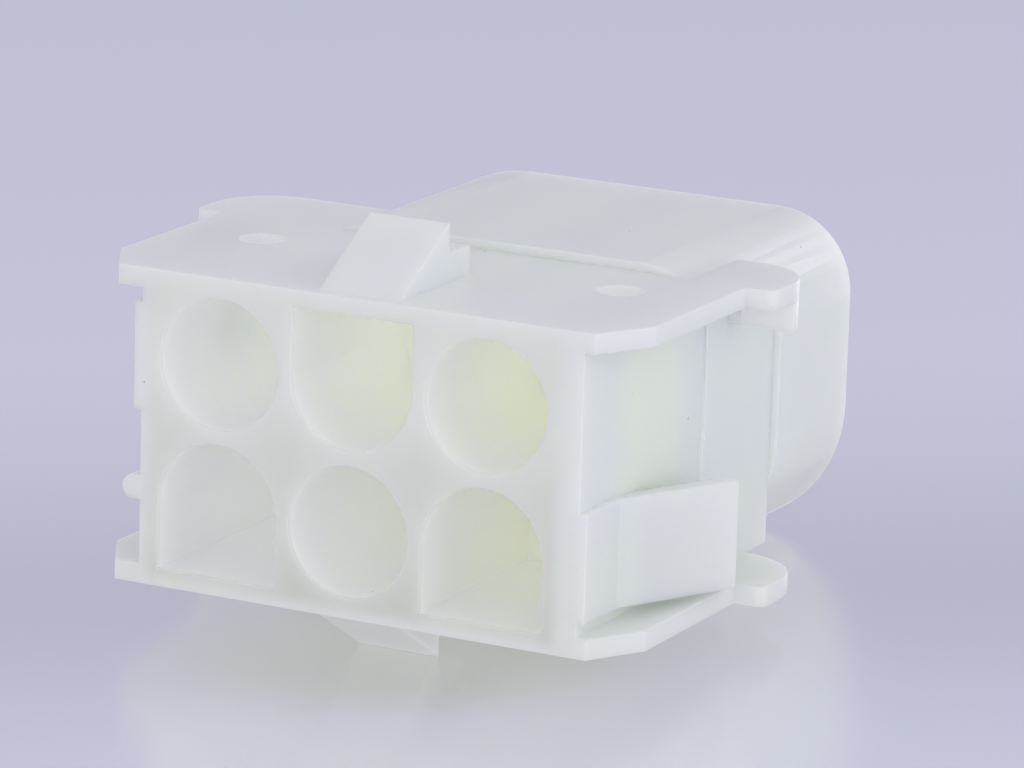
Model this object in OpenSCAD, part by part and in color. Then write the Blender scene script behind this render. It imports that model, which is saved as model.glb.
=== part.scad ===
// Panel-lock wire connector housing, moulded in one piece.
// Frame: origin at the centre of the mating face, +X to the right seen
// from the mating side, +Y towards the wire side, +Z up.

/* [Circuits] */
// Distance between neighbouring circuits
pitch = 6.2; // [6:0.1:8]
// Number of circuits in a row
columns = 3; // [2:1:5]
// Number of rows
rows = 2; // [2:1:3]

/* [Sockets] */
// Diameter of a socket in the mating face
socket_d = 5.6; // [4.8:0.1:5.7]
// How far the flat side of a squared socket lies past its round rim
key_rise = 0.12; // [0.02:0.02:0.2]
// Distance from the sockets' floors to the flange face behind them
floor_inset = 1.2; // [0.4:0.1:2]
// Diameter of the contact hole in a socket's floor
contact_d = 3.2; // [2:0.1:4]
// Diameter of a wire entry
entry_d = 4.8; // [4:0.1:5.2]
// Thickness of the web between a socket and its wire entry
web_t = 2.4; // [1.5:0.1:4]
// Diameter of the lead-in at the mouth of a wire entry
lead_in_d = 5.4; // [5.3:0.05:5.6]

/* [Front body] */
// Wall between the outer sockets and the left side
left_wall = 0.9; // [0.7:0.05:1.5]
// Wall between the outer sockets and the right side
right_wall = 1.6; // [0.8:0.05:1.75]
// Wall between a round socket and the top or the bottom
outer_wall = 0.88; // [0.7:0.02:1.6]
// Length of the whole housing
body_length = 24.6; // [21:0.2:36]

/* [Plates] */
// Thickness of the top and bottom plates where they overhang
plate_t = 0.87; // [0.6:0.01:1.4]
// Reach of the plates past the outer sockets at the mating face
nose_reach = 2.05; // [1.8:0.05:2.6]
// Reach of the plates past the outer sockets behind the slanted corners
plate_reach = 3.5; // [3:0.05:4.2]
// Length of the slanted corners
slant_length = 2.55; // [1:0.05:3.5]

/* [Panel flange] */
// Distance from the mating face to the face that meets the panel
flange_y = 10.95; // [9:0.05:12.5]
// Reach of the flange ears past the outer sockets
ear_reach = 4.85; // [4.4:0.05:6]
// Length of the flange ears
ear_length = 4.65; // [3.6:0.05:6.5]
// Radius of the ears' rear corners
ear_r = 3; // [0.5:0.1:3.2]
// Radius of the ears' front corners
ear_nose_r = 0.5; // [0.2:0.1:0.6]
// How deep the ears' roots reach into the body
ear_root = 0.7; // [0.5:0.05:1.2]
// Distance from the flange face to the rib behind an ear's front edge
ear_rib_y = 1.95; // [0.5:0.05:2.2]
// Thickness of that rib
ear_rib_t = 0.9; // [0.6:0.05:1.2]
// Height of that rib
ear_rib_h = 1.25; // [0.5:0.05:2]
// How far the flanks between the ears stand out of the front body
cheek_reach = 0.2; // [0.05:0.05:0.4]
// Length of those flanks
cheek_length = 6.6; // [5:0.1:8]

/* [Wire side] */
// How far the rear body stands out of the front body's sides
rear_side_step = 0.55; // [0.45:0.05:0.8]
// How far the rear body stands out of the plates
rear_top_step = 0.4; // [0.1:0.05:0.6]
// Radius of the rear body's upper right and lower left edges
rear_r = 3.5; // [2:0.1:3.8]
// Radius of its upper left and lower right edges
rear_wide_r = 5.9; // [4:0.1:6.2]
// Distance from the flange face to the start of the rear body
rear_start = 0.1; // [0.05:0.05:0.6]

/* [Locking ramps] */
// Width of a ramp
ramp_w = 3.8; // [2:0.1:6]
// Height of a ramp above its plate
ramp_h = 2.5; // [1.6:0.05:3.5]
// Distance from the mating face to the ramp's foot
ramp_y = 0.55; // [0.05:0.05:1.5]
// Length of the slope
ramp_run = 4.2; // [3:0.1:5]
// Height of the step behind the ramp
ramp_step_h = 1.25; // [0.6:0.05:1.5]
// Length of that step
ramp_step_run = 1.8; // [0.8:0.1:2.4]

/* [Panel lances] */
// Height of a lance
lance_h = 4.6; // [3:0.1:5]
// Thickness of a lance
lance_t = 0.9; // [0.6:0.05:1.2]
// How far the free end stands out of the body
lance_reach = 2.5; // [2:0.05:3]
// Distance from the mating face to the lance's root
lance_root_y = 2.9; // [2:0.1:4.5]
// Gap for the panel between the lance and the flange
panel_gap = 1.2; // [0.6:0.1:2]
// Gap between a lance's free end and the plate beside it
lance_plate_gap = 0.2; // [0.1:0.05:0.5]
// How much closer to that plate the free end lies than the root
lance_drop = 0.4; // [0.05:0.05:0.6]
// How far the pad in front of the lance stands out of the body
pad_reach = 0.35; // [0.2:0.05:0.8]

/* [Keying rib] */
// Height of the rib on the left side
rib_h = 1.05; // [0.6:0.05:1.5]
// How far the rib stands out of the body
rib_reach = 0.85; // [0.6:0.05:1.4]
// Length of the rib
rib_length = 6; // [3:0.5:9]
// Height of the rib's middle above the lower plate's inner face
rib_rise = 3.26; // [1:0.02:4]

/* [Ejector marks] */
// Diameter of the round marks on the top plate
mark_d = 2; // [1:0.1:3]
// Depth of the marks
mark_depth = 0.12; // [0.05:0.01:0.3]
// Distance of a mark's centre from the plate's side edge
mark_inset = 4.05; // [2:0.05:5]
// Distance of a mark's centre from the mating face
mark_y = 7.45; // [5:0.05:7.5]

/* [Hidden] */

$fn = 64;
nylon = [0.93, 0.94, 0.89];
// How deep joined shapes reach into each other, and how far cuts run past a face
sink = 0.3;

row_half_w = (columns - 1) * pitch / 2 + socket_d / 2;
body_left = row_half_w + left_wall;
body_right = row_half_w + right_wall;
body_half_w = (body_left + body_right) / 2;
// The body sits a little to the right of the circuits
body_mid_x = (body_right - body_left) / 2;
body_half_h = (rows - 1) * pitch / 2 + socket_d / 2 + outer_wall;

plate_inner = body_half_h - plate_t;
nose_half_w = row_half_w + nose_reach;
plate_half_w = row_half_w + plate_reach;

ear_half_w = row_half_w + ear_reach;
ear_end_y = flange_y + ear_length;
ear_rib_start_y = flange_y + ear_rib_y;
cheek_half_w = body_half_w + cheek_reach;
cheek_end_y = flange_y + cheek_length;

socket_depth = flange_y - floor_inset;
rear_y = flange_y + rear_start;
rear_half_w = body_half_w + rear_side_step;
rear_half_h = body_half_h + rear_top_step;

pad_x = body_half_w + pad_reach;
lance_tip_x = body_half_w + lance_reach;
lance_tip_y = flange_y - panel_gap;
lance_tip_z = -plate_inner + lance_plate_gap;
lance_root_z = lance_tip_z + lance_drop;
lance_slope = (lance_tip_x - pad_x) / (lance_tip_y - lance_root_y);
// The lance's thickness measured straight across the body
lance_across = lance_t * sqrt(1 + pow(lance_slope, 2));
lance_back_x = lance_tip_x - lance_across;
lance_back_y = lance_tip_y - (lance_back_x - body_half_w) / lance_slope;

// A box from its lowest to its highest corner
module block(low, high) {
    translate(low)
        cube(high - low);
}

// A profile drawn in X and Z, pushed along +Y from y0 to y1
module along_y(y0, y1) {
    translate([0, y1, 0])
        rotate([90, 0, 0])
            linear_extrude(height = y1 - y0)
                children();
}

// A profile drawn in Y and Z, pushed along X and centred on it
module along_x(width) {
    rotate([90, 0, 90])
        linear_extrude(height = width, center = true)
            children();
}

// A round pin or hole along Y
module round_y(d, y0, y1) {
    translate([0, y0, 0])
        rotate([-90, 0, 0])
            cylinder(d = d, h = y1 - y0);
}

// The shape and its copy turned half a turn about the Y axis
module turned_pair() {
    children();
    rotate([0, 180, 0])
        children();
}

// The shape and its copy across the X-Y plane
module top_and_bottom() {
    children();
    mirror([0, 0, 1])
        children();
}

// The shape and its copy across the Y-Z plane
module left_and_right() {
    children();
    mirror([1, 0, 0])
        children();
}

// What is drawn about the middle of the body
module on_body() {
    translate([body_mid_x, 0, 0])
        children();
}

// The square-edged front part that holds the sockets
module front_body() {
    block([-body_half_w, 0, -body_half_h], [body_half_w, rear_y, body_half_h]);
}

// The right half of the rear body's outline, with its two unequal corners
module rear_outline_half() {
    upper_z = rear_half_h - rear_r;
    lower_z = -rear_half_h + rear_wide_r;
    translate([0, -rear_half_h])
        square([rear_half_w - rear_wide_r, 2 * rear_half_h]);
    translate([0, lower_z])
        square([rear_half_w, upper_z - lower_z]);
    translate([0, upper_z])
        square([rear_half_w - rear_r, rear_r]);
    translate([rear_half_w - rear_r, upper_z])
        circle(r = rear_r);
    translate([rear_half_w - rear_wide_r, lower_z])
        circle(r = rear_wide_r);
}

// The part behind the flange. Its outline is the same when turned half a
// turn, and its flanks are set back between the ears.
module rear_body() {
    difference() {
        along_y(rear_y, body_length) {
            rear_outline_half();
            rotate(180)
                rear_outline_half();
        }
        left_and_right()
            block(
                [cheek_half_w, rear_y - sink, -plate_inner],
                [rear_half_w + sink, cheek_end_y, plate_inner]
            );
    }
}

// The square shoulder at the lower right edge, where the rear body's wide
// radius would leave the flange open, and the flank that runs on behind it
module shoulder() {
    block([0, flange_y, -body_half_h], [cheek_half_w, ear_end_y, 0]);
    block([0, flange_y, -plate_inner], [cheek_half_w, cheek_end_y, 0]);
}

// The outline of the plate over the front body, seen from above
module plate_outline() {
    polygon([
        [-nose_half_w, 0],
        [nose_half_w, 0],
        [plate_half_w, slant_length],
        [plate_half_w, rear_y],
        [-plate_half_w, rear_y],
        [-plate_half_w, slant_length]
    ]);
}

// One ear of the panel flange on the right, with its rounded corners, for a
// body side at side_x
module ear_outline(side_x) {
    root_x = side_x - ear_root;
    straight_x = ear_half_w - ear_r;
    straight_y = ear_end_y - ear_r;
    nose_x = ear_half_w - ear_nose_r;
    nose_y = flange_y + ear_nose_r;
    translate([root_x, flange_y])
        square([straight_x - root_x, ear_length]);
    translate([root_x, flange_y])
        square([nose_x - root_x, straight_y - flange_y]);
    translate([root_x, nose_y])
        square([ear_half_w - root_x, straight_y - nose_y]);
    translate([nose_x, nose_y])
        circle(r = ear_nose_r);
    intersection() {
        translate([straight_x, straight_y])
            circle(r = ear_r);
        translate([straight_x, straight_y])
            square(ear_r);
    }
}

// The plate with its two ears
module plate() {
    translate([0, 0, plate_inner])
        linear_extrude(height = plate_t) {
            plate_outline();
            ear_outline(body_right);
            mirror([1, 0])
                ear_outline(body_left);
        }
}

// The rib on the inner face of an ear, here of the upper right one, for a
// body side at side_x
module ear_rib(side_x) {
    translate([0, 0, plate_inner - ear_rib_h])
        linear_extrude(height = ear_rib_h + plate_t / 2)
            intersection() {
                ear_outline(side_x);
                translate([side_x - ear_root, ear_rib_start_y])
                    square([ear_half_w, ear_rib_t]);
            }
}

// The locking ramp on the middle of a plate, with the step behind it
module ramp() {
    top_y = ramp_y + ramp_run;
    end_y = top_y + ramp_step_run;
    translate([0, 0, body_half_h])
        along_x(ramp_w)
            polygon([
                [ramp_y, -sink],
                [ramp_y, 0],
                [top_y, ramp_h],
                [top_y, ramp_step_h],
                [end_y, ramp_step_h],
                [end_y, -sink]
            ]);
}

// A lance seen from above: a pad at the mating face that turns outwards into
// an arm whose free end stops short of the flange
module lance_plan() {
    polygon([
        [body_half_w - sink, 0],
        [pad_x, 0],
        [pad_x, lance_root_y],
        [lance_tip_x, lance_tip_y],
        [lance_back_x, lance_tip_y],
        [body_half_w, lance_back_y],
        [body_half_w - sink, lance_back_y]
    ]);
}

// The same lance seen from the side, where the arm drops a little
module lance_side() {
    polygon([
        [0, lance_root_z],
        [lance_root_y, lance_root_z],
        [lance_tip_y, lance_tip_z],
        [lance_tip_y, lance_tip_z + lance_h],
        [lance_root_y, lance_root_z + lance_h],
        [0, lance_root_z + lance_h]
    ]);
}

// The springy lance low on the right side
module lance() {
    intersection() {
        linear_extrude(height = 2 * body_half_h, center = true)
            lance_plan();
        along_x(2 * lance_tip_x + sink)
            lance_side();
    }
}

// The keying rib with its rounded crest, low on the left side
module rib() {
    crest_r = rib_h / 2;
    crest_x = body_left + rib_reach - crest_r;
    translate([0, 0, rib_rise - plate_inner]) {
        translate([-crest_x, 0, 0])
            round_y(rib_h, 0, rib_length);
        block([-crest_x, 0, -crest_r], [-body_left + sink, rib_length, crest_r]);
    }
}

// The hollow of one circuit. A squared socket has its outer corners filled out
// to a square, which keys the mating half.
module circuit(squared, outward) {
    web_y = socket_depth + web_t;
    socket_r = socket_d / 2;
    round_y(socket_d, -sink, socket_depth);
    if (squared)
        mirror([0, 0, outward > 0 ? 0 : 1])
            block([-socket_r, -sink, 0], [socket_r, socket_depth, socket_r + key_rise]);
    round_y(contact_d, socket_depth - sink, web_y + sink);
    round_y(entry_d, web_y, body_length + sink);
    lead_in = (lead_in_d - entry_d) / 2;
    translate([0, body_length - lead_in, 0])
        rotate([-90, 0, 0])
            cylinder(d1 = entry_d, d2 = lead_in_d, h = lead_in);
}

// All circuits, squared and round by turns
module circuits() {
    for (row = [0 : rows - 1], column = [0 : columns - 1]) {
        x = (column - (columns - 1) / 2) * pitch;
        z = (row - (rows - 1) / 2) * pitch;
        translate([x, 0, z])
            circuit((row + column) % 2 == 0, z);
    }
}

// The two shallow marks that the ejector pins leave
module ejector_marks() {
    left_and_right()
        translate([plate_half_w - mark_inset, mark_y, body_half_h - mark_depth])
            cylinder(d = mark_d, h = mark_depth + sink);
}

module housing() {
    color(nylon)
        difference() {
            union() {
                on_body() {
                    front_body();
                    rear_body();
                    turned_pair() {
                        shoulder();
                        lance();
                    }
                }
                top_and_bottom() {
                    plate();
                    ramp();
                }
                ear_rib(body_right);
                rotate([0, 180, 0])
                    ear_rib(body_left);
                rib();
            }
            circuits();
            ejector_marks();
        }
}

housing();
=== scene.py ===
"""Dresses a moulded nylon connector housing and sets it on a glossy table."""

import logging
import math
from dataclasses import dataclass, field
from enum import Enum
from typing import Sequence

import bmesh
import bpy
from mathutils import Matrix, Vector

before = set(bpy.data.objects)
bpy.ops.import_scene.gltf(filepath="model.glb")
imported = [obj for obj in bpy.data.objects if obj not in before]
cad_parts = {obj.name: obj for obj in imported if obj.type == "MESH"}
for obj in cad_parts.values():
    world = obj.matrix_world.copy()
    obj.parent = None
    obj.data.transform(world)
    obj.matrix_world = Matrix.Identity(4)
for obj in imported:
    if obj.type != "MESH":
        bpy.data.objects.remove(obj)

LOG = logging.getLogger("connector_housing")
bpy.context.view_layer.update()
MM = 0.001

Colour = tuple[float, float, float]
WHITE: Colour = (1.0, 1.0, 1.0)


class NodeKind(Enum):
    """The shader nodes that the finishes are made of."""

    OUTPUT = "ShaderNodeOutputMaterial"
    WORLD_OUTPUT = "ShaderNodeOutputWorld"
    PRINCIPLED = "ShaderNodeBsdfPrincipled"
    GLOSSY = "ShaderNodeBsdfGlossy"
    GLOW = "ShaderNodeEmission"
    LAYER = "ShaderNodeLayerWeight"
    CLEAR = "ShaderNodeBsdfTransparent"
    BACKGROUND = "ShaderNodeBackground"
    MIX_SHADER = "ShaderNodeMixShader"
    COORDINATES = "ShaderNodeTexCoord"
    MAPPING = "ShaderNodeMapping"
    SEPARATE = "ShaderNodeSeparateXYZ"
    MATH = "ShaderNodeMath"
    NOISE = "ShaderNodeTexNoise"
    CELLS = "ShaderNodeTexVoronoi"
    RANGE = "ShaderNodeMapRange"
    RAMP = "ShaderNodeValToRGB"
    MIX = "ShaderNodeMix"
    BUMP = "ShaderNodeBump"
    LENGTH = "ShaderNodeVectorMath"
    LIGHT_PATH = "ShaderNodeLightPath"


@dataclass
class NodeBench:
    """A bench on which one node tree is put together.

    Attributes:
        tree: The node tree of a material or of the world.
    """

    tree: bpy.types.NodeTree

    def clear(self) -> None:
        """Takes every node off the bench."""
        self.tree.nodes.clear()

    def add(self, kind: NodeKind, **settings: object) -> bpy.types.Node:
        """Adds a node and sets its properties.

        Args:
            kind: Which node to add.
            **settings: Properties of the node by name.

        Returns:
            The new node.
        """
        node = self.tree.nodes.new(kind.value)
        for name, value in settings.items():
            setattr(node, name, value)
        return node

    def join(self, source: bpy.types.NodeSocket, target: bpy.types.NodeSocket) -> None:
        """Links an output to an input."""
        self.tree.links.new(source, target)

    def feed(self, target: bpy.types.NodeSocket, value: object) -> None:
        """Gives an input either a link or a plain value.

        Args:
            target: The input socket.
            value: Another node's output, or the value itself.
        """
        if isinstance(value, bpy.types.NodeSocket):
            self.join(value, target)
        else:
            target.default_value = value

    def sum_of(self, operation: str, *terms: object) -> bpy.types.NodeSocket:
        """Works out a number from one or more others.

        Args:
            operation: The name of the math operation.
            *terms: Outputs or plain numbers.

        Returns:
            The output that carries the result.
        """
        node = self.add(NodeKind.MATH, operation=operation)
        for socket, term in zip(node.inputs, terms):
            self.feed(socket, term)
        return node.outputs[0]

    def between(
        self,
        value: bpy.types.NodeSocket,
        low: float,
        high: float,
        to_low: float = 0.0,
        to_high: float = 1.0,
    ) -> bpy.types.NodeSocket:
        """Maps a range of a value smoothly onto another range.

        Args:
            value: The output to map.
            low: Value at which the result is to_low.
            high: Value at which the result is to_high.
            to_low: Result below low.
            to_high: Result above high.

        Returns:
            The mapped output.
        """
        node = self.add(NodeKind.RANGE, interpolation_type="SMOOTHSTEP")
        for name, entry in (
            ("Value", value),
            ("From Min", low),
            ("From Max", high),
            ("To Min", to_low),
            ("To Max", to_high),
        ):
            self.feed(node.inputs[name], entry)
        return node.outputs["Result"]

    def fading(
        self, value: bpy.types.NodeSocket, low: float, high: float
    ) -> bpy.types.NodeSocket:
        """Fades smoothly from 1 at a low value to 0 at a high one."""
        return self.between(value, low, high, 1.0, 0.0)

    def between_evenly(
        self, value: bpy.types.NodeSocket, low: float, high: float
    ) -> bpy.types.NodeSocket:
        """Maps a range of a value evenly onto 0 to 1.

        Args:
            value: The output to map.
            low: Value at which the result is 0.
            high: Value at which the result is 1.

        Returns:
            The mapped output.
        """
        node = self.add(NodeKind.RANGE)
        for name, entry in (("Value", value), ("From Min", low), ("From Max", high)):
            self.feed(node.inputs[name], entry)
        return node.outputs["Result"]

    def blend(
        self, share: object, first: object, second: object
    ) -> bpy.types.NodeSocket:
        """Mixes two colours.

        Args:
            share: How much of the second colour shows.
            first: Colour at share 0.
            second: Colour at share 1.

        Returns:
            The output that carries the mixed colour.
        """
        node = self.add(NodeKind.MIX, data_type="RGBA")
        sockets = [socket for socket in node.inputs if socket.type == "RGBA"]
        self.feed(node.inputs["Factor"], share)
        self.feed(sockets[0], opaque(first))
        self.feed(sockets[1], opaque(second))
        return next(socket for socket in node.outputs if socket.type == "RGBA")

    def stack(
        self, share: object, first: bpy.types.NodeSocket, second: bpy.types.NodeSocket
    ) -> bpy.types.NodeSocket:
        """Mixes two shaders.

        Args:
            share: How much of the second shader shows.
            first: Shader at share 0.
            second: Shader at share 1.

        Returns:
            The output that carries the mixed shader.
        """
        node = self.add(NodeKind.MIX_SHADER)
        self.feed(node.inputs[0], share)
        self.join(first, node.inputs[1])
        self.join(second, node.inputs[2])
        return node.outputs[0]

    def noise(
        self, place: bpy.types.NodeSocket, size: float, detail: float = 2.0
    ) -> bpy.types.NodeSocket:
        """Adds a cloudy pattern.

        Args:
            place: The coordinates, in metres.
            size: Rough size of one cloud, in metres.
            detail: How many finer layers lie in it.

        Returns:
            The output that carries the pattern.
        """
        node = self.add(NodeKind.NOISE)
        self.join(place, node.inputs["Vector"])
        node.inputs["Scale"].default_value = 1.0 / size
        node.inputs["Detail"].default_value = detail
        return node.outputs["Fac"]


def seen_ray(bench: NodeBench) -> bpy.types.NodeSocket:
    """Finds whether a thing is seen directly, in a gloss or through a clear piece.

    Args:
        bench: The bench on which the nodes are added.

    Returns:
        An output that is 1 for such a ray and 0 for a ray that only lights.
    """
    path = bench.add(NodeKind.LIGHT_PATH)
    direct = bench.sum_of(
        "MAXIMUM", path.outputs["Is Camera Ray"], path.outputs["Is Glossy Ray"]
    )
    return bench.sum_of("MAXIMUM", direct, path.outputs["Is Transmission Ray"])


def opaque(colour: object) -> object:
    """Adds full opacity to a plain colour and passes a link through."""
    if isinstance(colour, bpy.types.NodeSocket):
        return colour
    return (*colour, 1.0)


@dataclass(frozen=True)
class CircuitGrid:
    """Where the six circuits run through the housing.

    Attributes:
        pitch: Distance between neighbouring circuits, in metres.
        reach: Distance from a circuit's axis to its outermost wall.
        rim: Depth of the rim, which still has the web's colour.
        deep_start: Depth from which the painted glow and the painted lighter tone
            in the hollows start.
        deep_end: Depth at which they are full.
    """

    pitch: float = 6.2 * MM
    reach: float = 2.95 * MM
    rim: float = 0.3 * MM
    deep_start: float = 0.5 * MM
    deep_end: float = 9.0 * MM


@dataclass(frozen=True)
class EjectorMarks:
    """Where the two ejector marks lie on the top plate.

    Attributes:
        side: Distance of a mark from the housing's middle, in metres.
        back: Distance of a mark from the mating face.
        inner: Radius up to which a mark has its full colour.
        outer: Radius at which that colour is gone.
        height: Height above which a surface belongs to the top plate.
    """

    side: float = 8.45 * MM
    back: float = 7.45 * MM
    inner: float = 0.8 * MM
    outer: float = 1.1 * MM
    height: float = 6.5 * MM


@dataclass(frozen=True)
class ThinWalls:
    """Where the plastic is thin: beside the sockets and under the ears.

    Attributes:
        start: Distance behind the mating face where the thin walls start.
        end: Distance behind the mating face where they end.
        skin: Distance of the outermost wall from the housing's middle.
        play: Width over which the thin walls' colour fades out lengthwise.
        rib_start: Distance behind the mating face where the ears' ribs start.
        rib_side: Distance of the ribs' roots from the housing's middle.
        rib_top: Height of the ears' undersides.
    """

    start: float = 2.0 * MM
    end: float = 10.5 * MM
    skin: float = 10.7 * MM
    play: float = 3.0 * MM
    rib_start: float = 12.6 * MM
    rib_side: float = 11.4 * MM
    rib_top: float = 5.88 * MM


@dataclass
class MouldingMap:
    """Finds the regions of the moulding from a point's coordinates.

    Attributes:
        bench: The bench of the material.
        place: Object coordinates, in metres.
        circuits: Where the sockets and wire entries are.
        ejector: Where the ejector marks are.
        thin: Where the side walls are thin.
        fade: Width over which a region's colour fades out.
        across: Distance to the right of the housing's middle.
        along: Distance behind the mating face.
        upward: Height above the housing's middle.
        beside: Distance from the middle to either side.
        above: Distance from the middle up or down.
    """

    bench: NodeBench
    place: bpy.types.NodeSocket
    circuits: CircuitGrid = field(default_factory=CircuitGrid)
    ejector: EjectorMarks = field(default_factory=EjectorMarks)
    thin: ThinWalls = field(default_factory=ThinWalls)
    fade: float = 0.8 * MM
    across: bpy.types.NodeSocket = field(init=False)
    along: bpy.types.NodeSocket = field(init=False)
    upward: bpy.types.NodeSocket = field(init=False)
    beside: bpy.types.NodeSocket = field(init=False)
    above: bpy.types.NodeSocket = field(init=False)

    def __post_init__(self) -> None:
        """Splits the coordinates into the distances that every region needs."""
        split = self.bench.add(NodeKind.SEPARATE)
        self.bench.join(self.place, split.inputs[0])
        self.across, self.along, self.upward = split.outputs
        self.beside = self.bench.sum_of("ABSOLUTE", self.across)
        self.above = self.bench.sum_of("ABSOLUTE", self.upward)

    def all_of(self, *shares: bpy.types.NodeSocket) -> bpy.types.NodeSocket:
        """Works out where several regions overlap.

        Args:
            *shares: Outputs that are each 1 in a region and 0 outside it.

        Returns:
            An output that is 1 only where all of them are.
        """
        result = shares[0]
        for share in shares[1:]:
            result = self.bench.sum_of("MULTIPLY", result, share)
        return result

    def hollows(self) -> bpy.types.NodeSocket:
        """Finds the walls of the sockets and the wire entries.

        Returns:
            An output that is 1 deep in a hollow and 0 on the outer skin.
        """
        bench, grid = self.bench, self.circuits
        from_column = bench.sum_of(
            "PINGPONG", bench.sum_of("ADD", self.across, grid.pitch), grid.pitch / 2
        )
        from_row = bench.sum_of(
            "ABSOLUTE", bench.sum_of("SUBTRACT", self.above, grid.pitch / 2)
        )
        off_axis = bench.sum_of("MAXIMUM", from_column, from_row)
        return self.all_of(
            bench.sum_of("LESS_THAN", off_axis, grid.reach),
            bench.sum_of("LESS_THAN", self.beside, grid.pitch + grid.reach),
            bench.between(self.along, 0.0, grid.rim),
        )

    def depths(self) -> bpy.types.NodeSocket:
        """Finds how deep a point lies in a hollow.

        Returns:
            An output that rises from 0 at the mouth to 1 deep inside.
        """
        grid = self.circuits
        return self.bench.between(self.along, grid.deep_start, grid.deep_end)

    def webs(self) -> bpy.types.NodeSocket:
        """Finds the mating face between the sockets' mouths.

        Returns:
            An output that is 1 on the webs and fades out around them.
        """
        grid = self.circuits
        side = grid.pitch + grid.reach
        top = grid.pitch / 2 + grid.reach
        return self.all_of(
            self._before(self.beside, side),
            self._before(self.above, top),
            self._before(self.along, 0.0),
        )

    def thin_walls(self) -> bpy.types.NodeSocket:
        """Finds the side walls where only a thin wall closes a socket.

        Returns:
            An output that is 1 on the thin walls and fades out around them.
        """
        bench, thin = self.bench, self.thin
        outer = self.circuits.pitch + self.circuits.reach
        top = self.circuits.pitch / 2 + self.circuits.reach
        return self.all_of(
            bench.between(self.beside, outer, outer + self.fade),
            bench.sum_of("LESS_THAN", self.beside, thin.skin),
            bench.between(self.along, thin.start, thin.start + thin.play),
            bench.fading(self.along, thin.end - thin.play, thin.end),
            self._before(self.above, top - self.fade),
        )

    def ear_ribs(self) -> bpy.types.NodeSocket:
        """Finds the ribs under the ears.

        Returns:
            An output that is 1 on the ribs and 0 elsewhere.
        """
        bench, thin = self.bench, self.thin
        return self.all_of(
            bench.sum_of("GREATER_THAN", self.beside, thin.rib_side),
            bench.sum_of("GREATER_THAN", self.along, thin.rib_start),
            bench.sum_of("LESS_THAN", self.above, thin.rib_top),
        )

    def marks(self) -> bpy.types.NodeSocket:
        """Finds the two ejector marks.

        Returns:
            An output that is 1 on a mark and 0 elsewhere.
        """
        bench, spot = self.bench, self.ejector
        aside = bench.sum_of("SUBTRACT", self.beside, spot.side)
        behind = bench.sum_of("SUBTRACT", self.along, spot.back)
        square = bench.sum_of(
            "ADD",
            bench.sum_of("MULTIPLY", aside, aside),
            bench.sum_of("MULTIPLY", behind, behind),
        )
        span = bench.sum_of("SQRT", square)
        return self.all_of(
            bench.fading(span, spot.inner, spot.outer),
            bench.sum_of("GREATER_THAN", self.upward, spot.height),
        )

    def specks(self, cell: float, radius: float, share: float) -> bpy.types.NodeSocket:
        """Scatters a few specks.

        Args:
            cell: Size of a cell that may hold one speck, in metres.
            radius: Radius of a speck, in metres.
            share: Share of the cells that hold one.

        Returns:
            An output that is 1 on a speck and 0 elsewhere.
        """
        bench = self.bench
        cells = bench.add(NodeKind.CELLS)
        bench.join(self.place, cells.inputs["Vector"])
        cells.inputs["Scale"].default_value = 1.0 / cell
        size = radius / cell
        pick = bench.add(NodeKind.SEPARATE)
        bench.join(cells.outputs["Color"], pick.inputs[0])
        return self.all_of(
            bench.fading(cells.outputs["Distance"], size / 2, size),
            bench.sum_of("LESS_THAN", pick.outputs[0], share),
        )

    def _before(
        self, distance: bpy.types.NodeSocket, edge: float
    ) -> bpy.types.NodeSocket:
        """Fades from 1 to 0 just beyond an edge."""
        return self.bench.fading(distance, edge, edge + self.fade)


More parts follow.
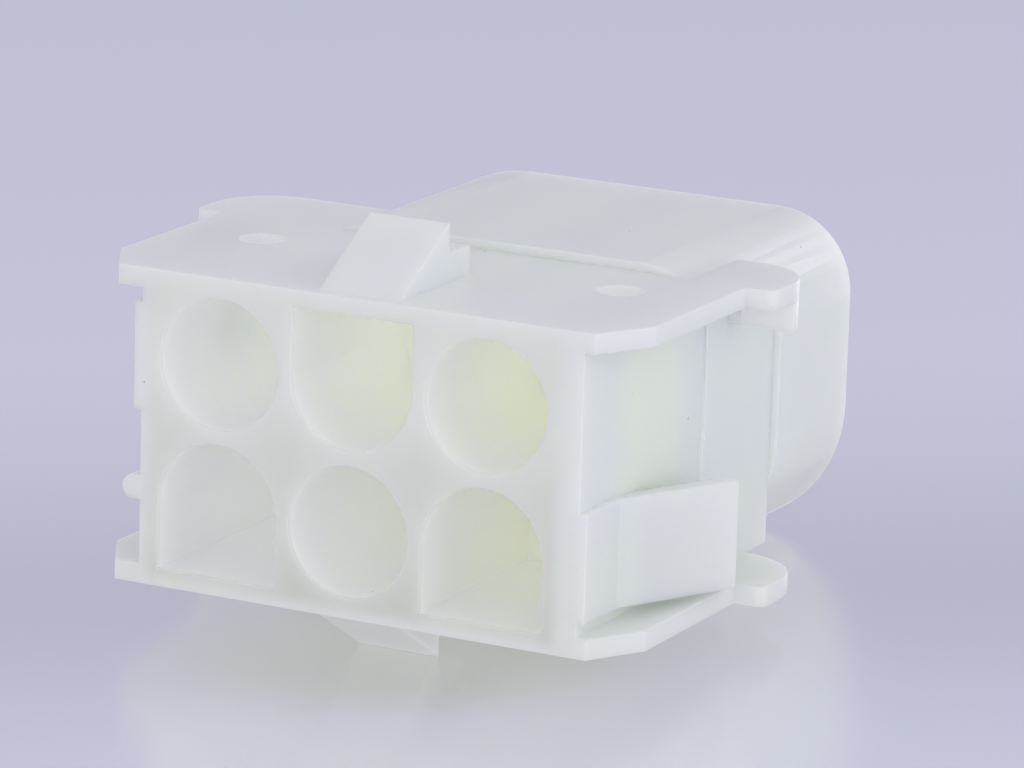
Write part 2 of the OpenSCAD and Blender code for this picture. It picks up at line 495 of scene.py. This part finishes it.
@dataclass(frozen=True)
class NylonFinish:
    """Natural, unfilled nylon: milky, waxy and lit through, with painted light and
    shade in some regions.

    Attributes:
        name: Name of the material.
        skin: Colour of the outer surfaces.
        cloudy: Colour of the faint clouds in it.
        shaded_low_skin: Colour of the outer surfaces near the underside, darker as
            painted shade.
        thin: Colour of the side walls where they are thin, a painted yellow-green tint
            of the light that shines through them.
        web: Colour of the webs between the upper sockets' mouths.
        shaded_low_web: Colour of the webs between the lower ones, darker as painted
            shade.
        lit_rib: Colour of the thin ribs under the ears, lightened as painted light to
            cancel the ears' shadow.
        mouth: Colour just inside the sockets' mouths, lighter than the skin as
            painted light.
        hollow: Colour in the depth of the rightmost sockets, painted light that
            cancels their shade and stands for light passed through more of the
            plastic.
        lit_far_hollow: Colour in the depth of the leftmost sockets, painted light
            with less tint.
        mark: Colour of the ejector marks.
        dust: Colour of a speck of dust.
        passed: Colour of a painted glow, an emission deep in the sockets that
            stands in for light coming through their walls.
        passed_level: Strength of that painted glow in the upper sockets.
        passed_low: Strength of that painted glow in the lower sockets.
        depth: How far light travels in the plastic, in metres.
        spread: How far red, green and blue light travel, next to each other.
        lit_through: Share of the light that passes through the plastic.
        roughness: Roughness of the moulded skin.
        roughness_play: How far the clouds change it either way.
        gloss: Strength of its reflections.
        bending: Index of refraction of the plastic.
        cloud: Size of the faint differences in tone, in metres.
        cloud_range: Levels of the cloud pattern where a cloud starts and where
            it is full.
        ripple: Size of the faint ripples in the skin, in metres.
        ripple_height: Height of those ripples, in metres.
        speck_cell: Size of a cell that may hold one speck, in metres.
        speck_size: Radius of a speck, in metres.
        speck_share: Share of the cells that hold one.
    """

    name: str = "natural_nylon"
    skin: Colour = (0.82, 0.84, 0.865)
    cloudy: Colour = (0.815, 0.84, 0.845)
    shaded_low_skin: Colour = (0.80, 0.825, 0.81)
    thin: Colour = (0.84, 0.88, 0.82)
    web: Colour = (0.80, 0.82, 0.80)
    shaded_low_web: Colour = (0.69, 0.705, 0.68)
    lit_rib: Colour = (0.97, 0.985, 0.99)
    mouth: Colour = (0.93, 0.94, 0.95)
    hollow: Colour = (0.995, 1.0, 0.94)
    lit_far_hollow: Colour = (0.995, 1.0, 0.995)
    mark: Colour = (0.96, 0.97, 0.975)
    dust: Colour = (0.42, 0.40, 0.36)
    passed: Colour = (0.92, 1.0, 0.65)
    passed_level: float = 0.032
    passed_low: float = 0.015
    depth: float = 1.8 * MM
    spread: Colour = (1.0, 1.0, 0.8)
    lit_through: float = 1.0
    roughness: float = 0.36
    roughness_play: float = 0.03
    gloss: float = 0.5
    bending: float = 1.53
    cloud: float = 5.0 * MM
    cloud_range: tuple[float, float] = (0.3, 0.7)
    ripple: float = 1.3 * MM
    ripple_height: float = 0.01 * MM
    speck_cell: float = 2.0 * MM
    speck_size: float = 0.06 * MM
    speck_share: float = 0.4

    def make(self) -> bpy.types.Material:
        """Makes the material.

        Returns:
            The finished material.
        """
        material = bpy.data.materials.new(self.name)
        material.use_nodes = True
        bench = NodeBench(material.node_tree)
        bench.clear()
        output = bench.add(NodeKind.OUTPUT)
        shader = bench.add(NodeKind.PRINCIPLED)
        bench.join(shader.outputs["BSDF"], output.inputs["Surface"])
        place = bench.add(NodeKind.COORDINATES).outputs["Object"]
        clouds = bench.noise(place, self.cloud)
        regions = MouldingMap(bench, place)
        hollows = regions.hollows()
        tone = self._tone(bench, regions, clouds, hollows)
        bench.join(tone, shader.inputs["Base Color"])
        matt = bench.between(
            clouds,
            *self.cloud_range,
            self.roughness - self.roughness_play,
            self.roughness + self.roughness_play,
        )
        bench.join(matt, shader.inputs["Roughness"])
        shader.inputs["Specular IOR Level"].default_value = self.gloss
        shader.inputs["Subsurface Weight"].default_value = self.lit_through
        shader.inputs["Subsurface Radius"].default_value = self.spread
        shader.inputs["Subsurface Scale"].default_value = self.depth
        shader.inputs["IOR"].default_value = self.bending
        # Painted glow: an emission in the sockets' depths, stronger in the upper row,
        # stands in for light coming through the walls.
        row = regions.circuits.pitch / 2
        level = bench.between(
            regions.upward, -row, row, self.passed_low, self.passed_level
        )
        shader.inputs["Emission Color"].default_value = opaque(self.passed)
        passed = regions.all_of(hollows, regions.depths(), level)
        bench.join(passed, shader.inputs["Emission Strength"])
        bump = bench.add(NodeKind.BUMP)
        bump.inputs["Strength"].default_value = 1.0
        bump.inputs["Distance"].default_value = self.ripple_height
        bench.join(bench.noise(place, self.ripple), bump.inputs["Height"])
        bench.join(bump.outputs["Normal"], shader.inputs["Normal"])
        return material

    def _tone(
        self,
        bench: NodeBench,
        regions: MouldingMap,
        clouds: bpy.types.NodeSocket,
        hollows: bpy.types.NodeSocket,
    ) -> bpy.types.NodeSocket:
        """Mixes the skin's colour with the tones of the special regions, several of
        which are painted light or shade.

        Args:
            bench: The bench of this material.
            regions: The map of the moulding's regions.
            clouds: The faint clouds in the plastic.
            hollows: Where the hollows are.

        Returns:
            The output that carries the colour.
        """
        row, side = regions.circuits.pitch / 2, regions.circuits.pitch
        # Painted shade: the webs darken from the upper row of sockets to the lower
        # one.
        web = bench.blend(
            bench.between(regions.upward, -side, row), self.shaded_low_web, self.web
        )
        # Painted light: the sockets' walls lighten from the mouth to the depth, more
        # yellow to the right, cancelling their shade.
        hollow = bench.blend(
            bench.between(regions.across, -side, side), self.lit_far_hollow, self.hollow
        )
        hollow = bench.blend(regions.depths(), self.mouth, hollow)
        specks = regions.specks(self.speck_cell, self.speck_size, self.speck_share)
        tone = bench.blend(
            bench.between(clouds, *self.cloud_range), self.skin, self.cloudy
        )
        for share, colour in (
            # Painted shade: the outer skin darkens towards the underside.
            (bench.fading(regions.upward, -side, 0.0), self.shaded_low_skin),
            (regions.marks(), self.mark),
            (regions.webs(), web),
            # Painted light: a yellow-green tint on the thin side walls.
            (regions.thin_walls(), self.thin),
            # Painted light: the ribs under the ears are lightened against the ears'
            # shadow.
            (regions.ear_ribs(), self.lit_rib),
            (hollows, hollow),
            (specks, self.dust),
        ):
            tone = bench.blend(share, tone, colour)
        return tone


@dataclass(frozen=True)
class TableFinish:
    """A pale acrylic sheet, glossy on top, with painted shade around and under the
    housing, that fades out towards its rim.

    Attributes:
        name: Name of the material.
        tone: Colour of the sheet where light falls on it.
        body: Colour that shows through it as the backdrop does.
        painted_shade_bands: Distance behind the housing's middle, in metres, and how
            light
        the sheet is there; the dip around the housing is painted shadow.
        facing: Direction in which that distance runs, in degrees.
        shade: Colour of the painted contact shadow right under the housing,
        tinted olive by the light that comes through the plastic.
        shade_centre: Middle of that patch, sideways and along the distance.
        shade_reach: Half its size, sideways and along the distance.
        shade_edge: How far the patch's soft edge reaches, as the square of
            its reach.
        matt: Roughness of the sheet where light falls on it.
        see_through: Share of the body's colour where the sheet is seen.
        lets_through: Share of the room's light that comes up through it.
        roughness: Roughness of its gloss.
        low_gloss: Share of the gloss where the sheet is seen at a low angle.
        high_gloss: Share of the gloss where it is seen from above.
        steepness: Slants of view at which those two shares are reached, from
            above and from a low angle.
        fade_start: Distance from the middle at which it starts to fade.
        fade_end: Distance from the middle at which it is gone.
    """

    name: str = "pale_acrylic"
    tone: Colour = (0.64, 0.645, 0.80)
    body: Colour = (0.67, 0.675, 0.815)
    painted_shade_bands: Sequence[tuple[float, float]] = (
        (-30 * MM, 1.06),
        (-18 * MM, 1.03),
        (-9 * MM, 0.80),
        (-1 * MM, 0.66),
        (8 * MM, 0.80),
        (20 * MM, 1.0),
        (34 * MM, 1.09),
        (95 * MM, 0.88),
    )
    facing: float = 27.1
    shade: Colour = (0.46, 0.47, 0.40)
    shade_centre: tuple[float, float] = (-3.0 * MM, -8.0 * MM)
    shade_reach: tuple[float, float] = (9.0 * MM, 6.0 * MM)
    shade_edge: float = 1.6
    matt: float = 0.9
    see_through: float = 0.85
    lets_through: float = 0.78
    roughness: float = 0.27
    low_gloss: float = 0.62
    high_gloss: float = 0.1
    steepness: tuple[float, float] = (0.2, 0.75)
    fade_start: float = 115 * MM
    fade_end: float = 170 * MM

    def make(self) -> bpy.types.Material:
        """Makes the material.

        Returns:
            The finished material.
        """
        material = bpy.data.materials.new(self.name)
        material.use_nodes = True
        bench = NodeBench(material.node_tree)
        bench.clear()
        output = bench.add(NodeKind.OUTPUT)
        place = bench.add(NodeKind.COORDINATES).outputs["Object"]
        sheet = bench.add(NodeKind.PRINCIPLED)
        sheet.inputs["Base Color"].default_value = opaque(self.tone)
        sheet.inputs["Roughness"].default_value = self.matt
        sheet.inputs["Specular IOR Level"].default_value = 0.0
        glow = bench.add(NodeKind.GLOW)
        bench.join(self._painted_shade_sheet(bench, place), glow.inputs["Color"])
        seen = seen_ray(bench)
        shows = bench.sum_of("MULTIPLY", seen, self.see_through)
        base = bench.stack(shows, sheet.outputs["BSDF"], glow.outputs["Emission"])
        gloss = bench.add(NodeKind.GLOSSY)
        gloss.inputs["Color"].default_value = opaque(WHITE)
        gloss.inputs["Roughness"].default_value = self.roughness
        angle = bench.add(NodeKind.LAYER)
        share = bench.between(
            angle.outputs["Facing"], *self.steepness, self.high_gloss, self.low_gloss
        )
        coated = bench.stack(share, base, gloss.outputs["BSDF"])
        reach = bench.add(NodeKind.LENGTH, operation="LENGTH")
        bench.join(place, reach.inputs[0])
        gone = bench.between(reach.outputs["Value"], self.fade_start, self.fade_end)
        lit = bench.sum_of("SUBTRACT", self.lets_through, seen)
        gone = bench.sum_of("MAXIMUM", gone, lit)
        clear = bench.add(NodeKind.CLEAR)
        bench.join(
            bench.stack(gone, coated, clear.outputs["BSDF"]), output.inputs["Surface"]
        )
        return material

    def _painted_shade_sheet(
        self, bench: NodeBench, place: bpy.types.NodeSocket
    ) -> bpy.types.NodeSocket:
        """Paints soft shade across the sheet from front to back, darkest around the
        housing, and a painted contact shadow right under it.

        Args:
            bench: The bench of this material.
            place: Coordinates on the sheet, in metres.

        Returns:
            The output that carries the sheet's colour.
        """
        turn = bench.add(NodeKind.MAPPING, vector_type="POINT")
        bench.join(place, turn.inputs["Vector"])
        turn.inputs["Rotation"].default_value[2] = -math.radians(self.facing)
        split = bench.add(NodeKind.SEPARATE)
        bench.join(turn.outputs[0], split.inputs[0])
        # Painted shadow: the sheet is darker in a soft band through the housing's
        # middle.
        first, last = self.painted_shade_bands[0][0], self.painted_shade_bands[-1][0]
        along = bench.between_evenly(split.outputs[1], first, last)
        ramp = bench.add(NodeKind.RAMP)
        ramp.color_ramp.interpolation = "B_SPLINE"
        stops = ramp.color_ramp.elements
        while len(stops) < len(self.painted_shade_bands):
            stops.new(1.0)
        for stop, (distance, level) in zip(stops, self.painted_shade_bands):
            stop.position = (distance - first) / (last - first)
            stop.color = opaque(tuple(part * level for part in self.body))
        bench.join(along, ramp.inputs[0])
        # Painted contact shadow: a soft olive patch on the sheet right under the
        # housing.
        offsets = [
            bench.sum_of("DIVIDE", bench.sum_of("SUBTRACT", way, centre), reach)
            for way, centre, reach in zip(
                split.outputs, self.shade_centre, self.shade_reach
            )
        ]
        squares = [bench.sum_of("MULTIPLY", part, part) for part in offsets]
        under = bench.fading(bench.sum_of("ADD", *squares), 0.0, self.shade_edge)
        return bench.blend(under, ramp.outputs["Color"], self.shade)


@dataclass(frozen=True)
class BackdropFinish:
    """The pale backdrop, seen directly and in the gloss, and the room's light.

    Attributes:
        backdrop: Colour of the backdrop.
        room: Colour of the light that falls from all sides.
        room_level: Strength of that light.
    """

    backdrop: Colour = (0.47, 0.475, 0.605)
    room: Colour = (1.0, 1.0, 1.02)
    room_level: float = 0.66

    def make(self) -> bpy.types.World:
        """Makes the world.

        Returns:
            The world, lit and coloured.
        """
        world = bpy.data.worlds.new("studio_room")
        world.use_nodes = True
        bench = NodeBench(world.node_tree)
        bench.clear()
        output = bench.add(NodeKind.WORLD_OUTPUT)
        room = bench.add(NodeKind.BACKGROUND)
        room.inputs["Color"].default_value = opaque(self.room)
        room.inputs["Strength"].default_value = self.room_level
        backdrop = bench.add(NodeKind.BACKGROUND)
        backdrop.inputs["Color"].default_value = opaque(self.backdrop)
        mix = bench.stack(seen_ray(bench), room.outputs[0], backdrop.outputs[0])
        bench.join(mix, output.inputs["Surface"])
        return world


@dataclass
class HousingMoulding:
    """The one moulded piece: its softened edges and its nylon.

    Attributes:
        node: Name of the piece.
        finish: The nylon it is moulded in.
        edge_radius: Radius left on its sharp edges, in metres.
        edge_steps: Number of steps in that radius.
        sharp_angle: Edges bent more than this are sharp, in degrees.
        join_distance: Corners closer than this are one, in metres.
        flat_angle: Facets bent less than this are one flat, in degrees.
    """

    node: str = "housing"
    finish: NylonFinish = field(default_factory=NylonFinish)
    edge_radius: float = 0.045 * MM
    edge_steps: int = 3
    sharp_angle: float = 30.0
    join_distance: float = 0.0005 * MM
    flat_angle: float = 0.4

    def build(self) -> bpy.types.Object:
        """Softens and dresses the moulding.

        Returns:
            The finished piece.
        """
        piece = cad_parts[self.node]
        self._soften(piece)
        self._dress(piece)
        return piece

    def _soften(self, piece: bpy.types.Object) -> None:
        """Joins the facets and rounds the sharp edges.

        Args:
            piece: The moulding.
        """
        weld = piece.modifiers.new("join_facets", "WELD")
        weld.merge_threshold = self.join_distance
        merge = piece.modifiers.new("merge_flats", "DECIMATE")
        merge.decimate_type = "DISSOLVE"
        merge.angle_limit = math.radians(self.flat_angle)
        rounding = piece.modifiers.new("round_edges", "BEVEL")
        rounding.limit_method = "ANGLE"
        rounding.angle_limit = math.radians(self.sharp_angle)
        rounding.width = self.edge_radius
        rounding.segments = self.edge_steps
        rounding.use_clamp_overlap = False
        rounding.loop_slide = False

    def _dress(self, piece: bpy.types.Object) -> None:
        """Gives the moulding its nylon."""
        nylon = self.finish.make()
        for slot in piece.material_slots:
            slot.material = nylon


@dataclass
class Table:
    """The sheet that the housing stands on, tipped on its two low points.

    Attributes:
        foot: Point of the sheet under the housing's middle, in metres.
        tilt: How far the sheet rises towards the wire side, in degrees.
        radius: Radius of the sheet, in metres.
        spokes: Number of sides of its rim.
        finish: The sheet's finish.
    """

    foot: tuple[float, float, float] = (0.0, 13.187 * MM, -8.3874 * MM)
    tilt: float = 6.039
    radius: float = 175 * MM
    spokes: int = 96
    finish: TableFinish = field(default_factory=TableFinish)

    def build(self) -> bpy.types.Object:
        """Builds the sheet.

        Returns:
            The sheet, which isn't part of the object.
        """
        mesh = bpy.data.meshes.new("table_top")
        form = bmesh.new()
        bmesh.ops.create_circle(
            form, cap_ends=True, segments=self.spokes, radius=self.radius
        )
        form.to_mesh(mesh)
        form.free()
        mesh.materials.append(self.finish.make())
        table = bpy.data.objects.new("table_top", mesh)
        table.matrix_world = Matrix.Translation(self.foot) @ Matrix.Rotation(
            math.radians(self.tilt), 4, "X"
        )
        bpy.context.scene.collection.objects.link(table)
        return table


@dataclass(frozen=True)
class SoftLamp:
    """One large, soft lamp aimed at the housing.

    Attributes:
        name: Name of the lamp.
        azimuth: Direction to the lamp around the vertical, in degrees, from
            the mating side towards the right.
        elevation: Its height angle, in degrees.
        distance: Distance from the housing, in metres.
        width: Width of its glowing face, in metres.
        power: Its power in watts.
        tint: Colour of its light.
    """

    name: str
    azimuth: float
    elevation: float
    distance: float
    width: float
    power: float
    tint: Colour = WHITE

    def hang(self, target: Vector) -> bpy.types.Object:
        """Hangs the lamp.

        Args:
            target: The point that the lamp faces.

        Returns:
            The lamp.
        """
        light = bpy.data.lights.new(self.name, "AREA")
        light.shape = "DISK"
        light.size = self.width
        light.energy = self.power
        light.color = self.tint
        lamp = bpy.data.objects.new(self.name, light)
        way = heading(self.azimuth, self.elevation)
        lamp.location = target + way * self.distance
        lamp.rotation_euler = way.to_track_quat("Z", "Y").to_euler()
        bpy.context.scene.collection.objects.link(lamp)
        return lamp


@dataclass(frozen=True)
class ProductCamera:
    """The camera that looks at the mating face from the upper right.

    Attributes:
        target: Point at the middle of the view, in metres.
        azimuth: Direction to the camera around the vertical, in degrees.
        elevation: Its height angle, in degrees.
        roll: How far it is turned about its own axis, in degrees.
        distance: Distance to the target, in metres.
        focal_length: Focal length in millimetres.
        sensor: Width of the sensor in millimetres.
        nearest: Distance from which things are seen, in metres.
    """

    target: tuple[float, float, float] = (0.78887 * MM, 12.87945 * MM, 0.62795 * MM)
    azimuth: float = 27.11375
    elevation: float = 13.97139
    roll: float = 1.71887
    distance: float = 258.81805 * MM
    focal_length: float = 213.643
    sensor: float = 36.0
    nearest: float = 10 * MM

    def set_up(self) -> bpy.types.Object:
        """Puts the camera in the scene.

        Returns:
            The camera.
        """
        data = bpy.data.cameras.new("product_camera")
        data.lens = self.focal_length
        data.sensor_width = self.sensor
        data.clip_start = self.nearest
        camera = bpy.data.objects.new("product_camera", data)
        way = heading(self.azimuth, self.elevation)
        right = Vector((0.0, 0.0, 1.0)).cross(way).normalized()
        turn = Matrix.Rotation(math.radians(self.roll), 3, way)
        right = turn @ right
        upward = way.cross(right)
        camera.matrix_world = Matrix.LocRotScale(
            Vector(self.target) + way * self.distance,
            Matrix((right, upward, way)).transposed().to_quaternion(),
            None,
        )
        bpy.context.scene.collection.objects.link(camera)
        bpy.context.scene.camera = camera
        return camera


def heading(azimuth: float, elevation: float) -> Vector:
    """Turns two angles into a direction.

    Args:
        azimuth: Angle around the vertical, from the mating side towards the
            right, in degrees.
        elevation: Angle above the level, in degrees.

    Returns:
        The direction, of length 1.
    """
    around, above = math.radians(azimuth), math.radians(elevation)
    return Vector(
        (
            math.sin(around) * math.cos(above),
            -math.cos(around) * math.cos(above),
            math.sin(above),
        )
    )


@dataclass
class Studio:
    """The room, the table, the lamps and the camera.

    Attributes:
        backdrop: The room and its backdrop.
        table: The sheet under the housing.
        lamps: The lamps.
        camera: The camera.
        light_bounces: How often light is followed on inside the nylon.
    """

    backdrop: BackdropFinish = field(default_factory=BackdropFinish)
    table: Table = field(default_factory=Table)
    lamps: Sequence[SoftLamp] = (
        SoftLamp("right_softbox", 84.0, 14.0, 0.60, 0.45, 0.50, (0.93, 1.0, 1.06)),
        SoftLamp("rear_softbox", 182.0, -2.0, 0.60, 0.30, 0.5),
        SoftLamp("front_softbox", 22.0, 14.0, 0.60, 0.45, 0.55),
    )
    camera: ProductCamera = field(default_factory=ProductCamera)
    light_bounces: int = 20

    def set_up(self) -> None:
        """Puts everything around the housing in place."""
        scene = bpy.context.scene
        scene.view_settings.view_transform = "Standard"
        scene.cycles.max_bounces = self.light_bounces
        scene.cycles.diffuse_bounces = self.light_bounces
        scene.world = self.backdrop.make()
        report("table", self.table.build())
        for lamp in self.lamps:
            report("lamp", lamp.hang(Vector(self.camera.target)))
        report("camera", self.camera.set_up())


def report(kind: str, thing: bpy.types.Object) -> None:
    """Logs one finished thing."""
    LOG.info("%s %s is in place", kind, thing.name)


def main() -> None:
    """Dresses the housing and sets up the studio."""
    logging.basicConfig(level=logging.INFO, format="%(name)s: %(message)s")
    report("piece", HousingMoulding().build())
    Studio().set_up()


if __name__ == "__main__":
    main()
